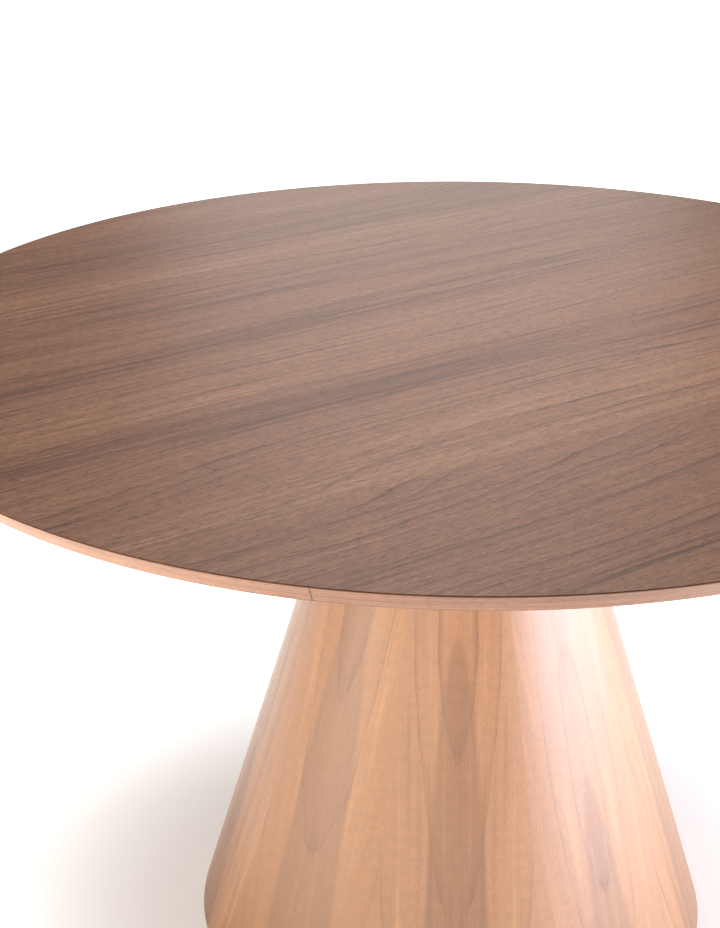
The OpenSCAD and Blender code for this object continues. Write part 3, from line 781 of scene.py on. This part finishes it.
class TABLE_OT_pedestal_veneer(bpy.types.Operator):
    """The tapered leaves of veneer round the cone, book-matched in pairs"""

    bl_idname = "table.pedestal_veneer"
    bl_label = "Pedestal veneer"

    def execute(self, context):
        low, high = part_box("pedestal_veneer")
        shell_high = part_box("pedestal_shell")[1]
        thick = high.x - shell_high.x
        foot_r = high.x
        head_r = head_radius()
        count = sizes().leaf_count
        half = math.pi / count
        gap = LEAF_GAP
        tall = high.z - low.z
        middle = Vector((head_r - thick / 2, 0, (low.z + high.z) / 2))
        deselect()
        bpy.ops.mesh.primitive_plane_add(size=1, location=middle, rotation=(math.radians(90), 0, 0))
        first = context.object
        bpy.ops.object.transform_apply(location=True, rotation=True, scale=True)
        bpy.ops.object.mode_set(mode="EDIT")
        bpy.ops.mesh.select_all(action="SELECT")
        bpy.ops.transform.resize(value=(thick, 1, tall), center_override=middle)
        select_by(first, "VERT", lambda v: v.co.z < middle.z)
        bpy.ops.transform.translate(value=(foot_r - head_r, 0, 0))
        bpy.ops.mesh.select_all(action="SELECT")
        bpy.ops.mesh.spin(steps=8, angle=2 * (gap - half), center=(0, 0, 0), axis=(0, 0, 1))
        # Level cuts up the leaf let its figure follow the taper
        for step in range(1, LEAF_ROWS):
            cut = low.z + tall * step / LEAF_ROWS
            bpy.ops.mesh.select_all(action="SELECT")
            bpy.ops.mesh.bisect(plane_co=(0, 0, cut), plane_no=(0, 0, 1))
        bpy.ops.object.mode_set(mode="OBJECT")
        clean_up(first, 40)
        look = Look("leaf", sway=30.0, sway_length=0.60, wiggle=9.0, fray=1.2,
                    ring_spacing=24.0, ring_spread=2.0, ring_depth=0.55, fibre=0.06,
                    mottle=0.05, pores=0.22, streak=11.0, spread=0.26, roughness=0.38,
                    specular=0.8)
        material = leaf_veneer("walnut_pedestal_leaves_lacquered", look)
        slant = math.hypot(tall, foot_r - head_r)
        leaves = []
        for number in range(count):
            leaf = first if number == 0 else first.copy()
            if number:
                leaf.data = first.data.copy()
                context.scene.collection.objects.link(leaf)
            self.lay_figure(leaf, number, gap, half, low.z, slant / tall)
            leaf.rotation_euler.z = sizes().leaf_turn + gap + 2 * half * number
            leaves.append(leaf)
        for number, leaf in enumerate(leaves):
            settle(leaf, f"pedestal_leaf_{number + 1}", material, "pedestal",
                   "pedestal_walnut", "pedestal_veneer")
        return {"FINISHED"}

    def lay_figure(self, leaf, number, gap, half, floor, stretch):
        """Lays the leaf's figure out from the joint that it shares with its mirrored neighbour."""
        uv = leaf.data.uv_layers.get("leaf") or leaf.data.uv_layers.new(name="leaf")
        marks = {}
        for name in ("side", "rise", "tone"):
            marks[name] = leaf.data.attributes.get(name) or leaf.data.attributes.new(
                name, "FLOAT", "POINT")
        pair = (number + 1) // 2 % (sizes().leaf_count // 2)
        # Flames peak 0.25 to 0.65 m up, each pair elsewhere, and the tone swings leaf by leaf
        apex = 0.45 + 0.20 * math.sin(2.4 * pair + 1.19)
        tone = 0.5 - 0.5 * math.cos(0.9 * (number - 9.5))
        for vertex in leaf.data.vertices:
            spot = vertex.co
            turn = math.atan2(spot.y, spot.x) + gap
            if number % 2:
                turn = 2 * half - turn
            height = (spot.z - floor) * stretch
            marks["side"].data[vertex.index].value = math.hypot(spot.x, spot.y) * turn
            marks["rise"].data[vertex.index].value = height - apex
            marks["tone"].data[vertex.index].value = tone
        for loop in leaf.data.loops:
            mark = loop.vertex_index
            height = marks["rise"].data[mark].value + apex
            side = marks["side"].data[mark].value
            # Each pair comes from its own place in the log
            uv.data[loop.index].uv = (height + 1.7 * pair, side + 0.53 * pair)


class TABLE_OT_pedestal_inside(bpy.types.Operator):
    """The shell, discs, rib, post and ballast inside the cone"""

    bl_idname = "table.pedestal_inside"
    bl_label = "Pedestal inside"

    def execute(self, context):
        ply = plywood("raw_birch_plywood")
        for node in ("pedestal_shell", "foot_disc", "mid_rib", "head_disc"):
            coat(node, ply)
        coat("centre_post", beech("planed_beech"))
        paint = matt_black("black_painted_steel", linear("141415"), roughness=0.45,
                           grit=0.6, depth=0.02)
        coat("ballast_plate", paint)
        return {"FINISHED"}


class TABLE_OT_wooden_head(bpy.types.Operator):
    """The tilt block, bearers, stop rail and catch packer in oiled solid walnut"""

    bl_idname = "table.wooden_head"
    bl_label = "Block, bearers and rail"

    def execute(self, context):
        look = Look("board", sway=22.0, sway_length=0.35, wiggle=3.0, ring_spacing=9.0,
                    ring_spread=3.0, ring_depth=0.6, roughness=0.52)
        long_board = solid_walnut("oiled_solid_walnut", look, turn=-90)
        cross_board = solid_walnut("oiled_solid_walnut_cross", look, turn=0)
        ease = sizes().wood_ease
        for node, body, board in (("tilt_block", "pedestal", long_board),
                                  ("bearer_left", "top", long_board),
                                  ("bearer_right", "top", long_board),
                                  ("stop_rail", "top", cross_board),
                                  ("catch_packer", "top", cross_board)):
            settle(eased_copy(node, ease), node + "_eased", board, body, "solid_walnut", node)
        return {"FINISHED"}


class TABLE_OT_metalwork(bpy.types.Operator):
    """The pivots, screws, tie rod, keeper and catch"""

    bl_idname = "table.metalwork"
    bl_label = "Metalwork"

    def execute(self, context):
        zinc = metal("bright_zinc_plated_steel", colours().zinc, linear("A9AAA6"),
                     roughness=0.34, scratch=0.01, coarse=0.006)
        brass = metal("satin_brass", colours().brass, linear("BC9858"),
                      roughness=0.32, scratch=0.012, coarse=0.012)
        for node in ("ballast_screws", "tie_rod", "tie_rod_washers", "tie_rod_nuts",
                     "block_screws", "bearer_screws", "stop_rail_screws"):
            coat(node, zinc)
        for node in ("pivot_inserts", "keeper_screws", "glide_inserts", "pivot_bushes",
                     "catch_screws", "friction_leaf"):
            coat(node, brass)
        for number in GLIDES:
            coat(f"glide_{number}_stem", zinc)
        ease = sizes().metal_ease
        settle(eased_copy("pivot_bolts", ease), "pivot_bolts_eased", zinc, "pedestal",
               "zinc_steel", "pivot_bolts")
        for node, body in (("keeper_plate", "pedestal"), ("catch_plate", "top"),
                           ("catch_bridges", "top"), ("catch_bolt", "catch"),
                           ("catch_knob", "catch")):
            settle(eased_copy(node, ease), node + "_eased", brass, body, "brass", node)
        return {"FINISHED"}


class TABLE_OT_pads(bpy.types.Operator):
    """The rubber rest pads and stop pad, the nylon washers and glide pads"""

    bl_idname = "table.pads"
    bl_label = "Pads and glides"

    def execute(self, context):
        rubber = matt_black("black_rubber", colours().rubber, roughness=0.72, grit=0.5,
                            depth=0.04)
        nylon = matt_black("moulded_black_nylon", colours().nylon, roughness=0.48, grit=0.8,
                           depth=0.02)
        coat("rest_pads", rubber)
        coat("pivot_washers", nylon)
        settle(eased_copy("stop_pad", sizes().metal_ease * 2), "stop_pad_eased", rubber, "top",
               "black_rubber", "stop_pad")
        for number in GLIDES:
            settle(eased_copy(f"glide_{number}_pad", sizes().metal_ease),
                   f"glide_{number}_pad_eased", nylon, f"glide_{number}", "black_nylon",
                   f"glide_{number}_pad")
        return {"FINISHED"}


# ---- stage

def soft_light(name, place, aim, size, spread, watts, colour):
    """A soft light that faces a point; spread is its beam's angle in degrees."""
    light = bpy.data.lights.new(name, "AREA")
    light.shape = "RECTANGLE"
    light.size, light.size_y = size
    light.spread = math.radians(spread)
    light.energy = watts
    light.color = linear(colour)[:3]
    lamp = bpy.data.objects.new(name, light)
    bpy.context.scene.collection.objects.link(lamp)
    lamp.location = place
    lamp.rotation_euler = (Vector(aim) - Vector(place)).to_track_quat("-Z", "Y").to_euler()
    lamp.visible_camera = False


class TABLE_OT_stage(bpy.types.Operator):
    """A plain pale floor, soft studio light and the camera"""

    bl_idname = "table.stage"
    bl_label = "Stage"

    def execute(self, context):
        turn = Matrix.Rotation(sizes().camera_turn, 4, "Z")
        self.lay_floor(context)
        self.hang_lights(turn)
        self.set_camera(context, turn)
        return {"FINISHED"}

    def lay_floor(self, context):
        """A white floor that glows a little, as a lit sweep does, so that shadows stay faint; round
        the foot its glow dims into a painted shadow.
        """
        deselect()
        bpy.ops.mesh.primitive_circle_add(
            vertices=96, radius=FLOOR_RADIUS, fill_type="NGON", location=(0, 0, -FLOOR_DROP))
        floor = context.object
        floor.name = "floor"
        material, tree = new_material("pale_studio_floor")
        place = add(tree, "ShaderNodeTexCoord").outputs["Object"]
        clouds = stretched_noise(tree, place, 0.8, 0.8, 3.0)
        colour = add(tree, "ShaderNodeValToRGB", {"Fac": clouds}, ramp=[
            (0.3, linear("F2F1EF")), (0.7, linear("F6F5F3"))]).outputs[0]
        roughness = add(tree, "ShaderNodeMapRange", {
            "Value": clouds, "To Min": 0.7, "To Max": 0.8}).outputs[0]
        # The glow is weak round the foot, as a painted shadow, and full beyond the table's rim
        reach = add(tree, "ShaderNodeVectorMath", {0: place}, operation="LENGTH").outputs["Value"]
        glow_with_painted_shadow = add(tree, "ShaderNodeMapRange", {
            "Value": reach, "From Min": 0.24, "From Max": 0.95, "To Min": 0.30, "To Max": 1.45},
                   interpolation_type="SMOOTHERSTEP").outputs[0]
        shader = add(tree, "ShaderNodeBsdfPrincipled", {
            "Base Color": colour, "Roughness": roughness, "Specular IOR Level": 0.2,
            "Emission Color": linear("FFFEFC"), "Emission Strength": glow_with_painted_shadow})
        add(tree, "ShaderNodeOutputMaterial", {"Surface": shader.outputs[0]})
        floor.data.materials.append(material)

    def hang_lights(self, turn):
        """A softbox over the top, a wash behind, and low lights for the pedestal and band."""
        world = bpy.data.worlds.new("white_studio")
        bpy.context.scene.world = world
        world.use_nodes = True
        world.node_tree.nodes.clear()
        # The sweep behind the table is white, while the room lights it only softly
        seen = add(world.node_tree, "ShaderNodeLightPath").outputs["Is Camera Ray"]
        strength = add(world.node_tree, "ShaderNodeMapRange", {
            "Value": seen, "To Min": 0.3, "To Max": 1.0}).outputs[0]
        background = add(world.node_tree, "ShaderNodeBackground", {
            "Color": linear("FFFEFC"), "Strength": strength})
        add(world.node_tree, "ShaderNodeOutputWorld", {"Surface": background.outputs[0]})
        # Name, place, aim, size in metres, beam in degrees, power in watts and colour
        for name, place, aim, size, spread, watts, colour in (
                ("overhead", (0, 0.05, 1.7), (0, 0.05, 0.75), (0.9, 0.9), 180, 7.4, "FFFCF8"),
                ("front_low", (-1.2, -2.6, 0.7), (0, 0, 0.45), (1.8, 1.0), 180, 16, "FFF9F2"),
                ("window_right", (2.8, -0.5, 0.6), (0, 0, 0.5), (3.6, 1.3), 180, 170, "E4ECFF"),
                ("fill_left", (-2.7, -1.3, 0.4), (0, 0, 0.6), (1.8, 1.0), 180, 30, "FFF2E2"),
                ("kicker_left", (-0.75, -1.15, 0.10), (-0.47, -0.38, 0.74), (0.5, 0.2), 35, 1.5,
                 "FFF8F0"),
                ("back_wash", (0.1, 3.0, 1.6), (0, 0, 0.75), (1.6, 0.8), 180, 9, "FFFFFF")):
            soft_light(name, turn @ Vector(place), turn @ Vector(aim), size, spread, watts,
                       colour)

    def set_camera(self, context, turn):
        """A 60 mm view from above the front left, a little over a metre from the rim."""
        table_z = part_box("top_veneer")[1].z
        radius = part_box("top_veneer")[1].x
        data = bpy.data.cameras.new("camera")
        camera = bpy.data.objects.new("camera", data)
        context.scene.collection.objects.link(camera)
        data.lens = 60.27
        data.sensor_width = 36.0
        data.clip_end = 100.0
        # It stands so many table radii from the middle of the top, and looks so far down
        aside, back, above = (-0.1758, -2.5932, 0.8841)
        look_down = 24.11
        sideways_lean = -0.59
        place = Vector((aside * radius, back * radius, table_z + above * radius))
        tilt = Matrix.Rotation(math.radians(90 - look_down), 4, "X")
        roll = Matrix.Rotation(math.radians(sideways_lean), 4, "Z")
        camera.matrix_world = turn @ Matrix.Translation(place) @ tilt @ roll
        context.scene.camera = camera
        context.scene.view_settings.view_transform = "Standard"


# ---- panel and run

OPERATORS = (
    TABLE_OT_face_veneer, TABLE_OT_edge_band, TABLE_OT_board, TABLE_OT_pedestal_veneer,
    TABLE_OT_pedestal_inside, TABLE_OT_wooden_head, TABLE_OT_metalwork, TABLE_OT_pads,
    TABLE_OT_stage,
)


class TABLE_PT_panel(bpy.types.Panel):
    """Lists the table's pieces in the sidebar"""

    bl_idname = "TABLE_PT_panel"
    bl_label = "Tilt-top table"
    bl_space_type = "VIEW_3D"
    bl_region_type = "UI"
    bl_category = "Table"

    def draw(self, context):
        for settings in (context.scene.table_sizes, context.scene.table_colours):
            for name in type(settings).__annotations__:
                self.layout.prop(settings, name)
        for operator in OPERATORS:
            self.layout.operator(operator.bl_idname)


CLASSES = (TableSizes, TableColours, *OPERATORS, TABLE_PT_panel)


def register():
    """Adds the classes and the scene's settings."""
    for cls in CLASSES:
        bpy.utils.register_class(cls)
    bpy.types.Scene.table_sizes = bpy.props.PointerProperty(type=TableSizes)
    bpy.types.Scene.table_colours = bpy.props.PointerProperty(type=TableColours)


def unregister():
    """Removes what register added."""
    del bpy.types.Scene.table_colours
    del bpy.types.Scene.table_sizes
    for cls in reversed(CLASSES):
        bpy.utils.unregister_class(cls)


def main():
    """Builds the table piece by piece."""
    register()
    bpy.ops.table.stage()
    bpy.ops.table.face_veneer()
    bpy.ops.table.edge_band()
    bpy.ops.table.board()
    bpy.ops.table.pedestal_veneer()
    bpy.ops.table.pedestal_inside()
    bpy.ops.table.wooden_head()
    bpy.ops.table.metalwork()
    bpy.ops.table.pads()


if __name__ == "__main__":
    main()
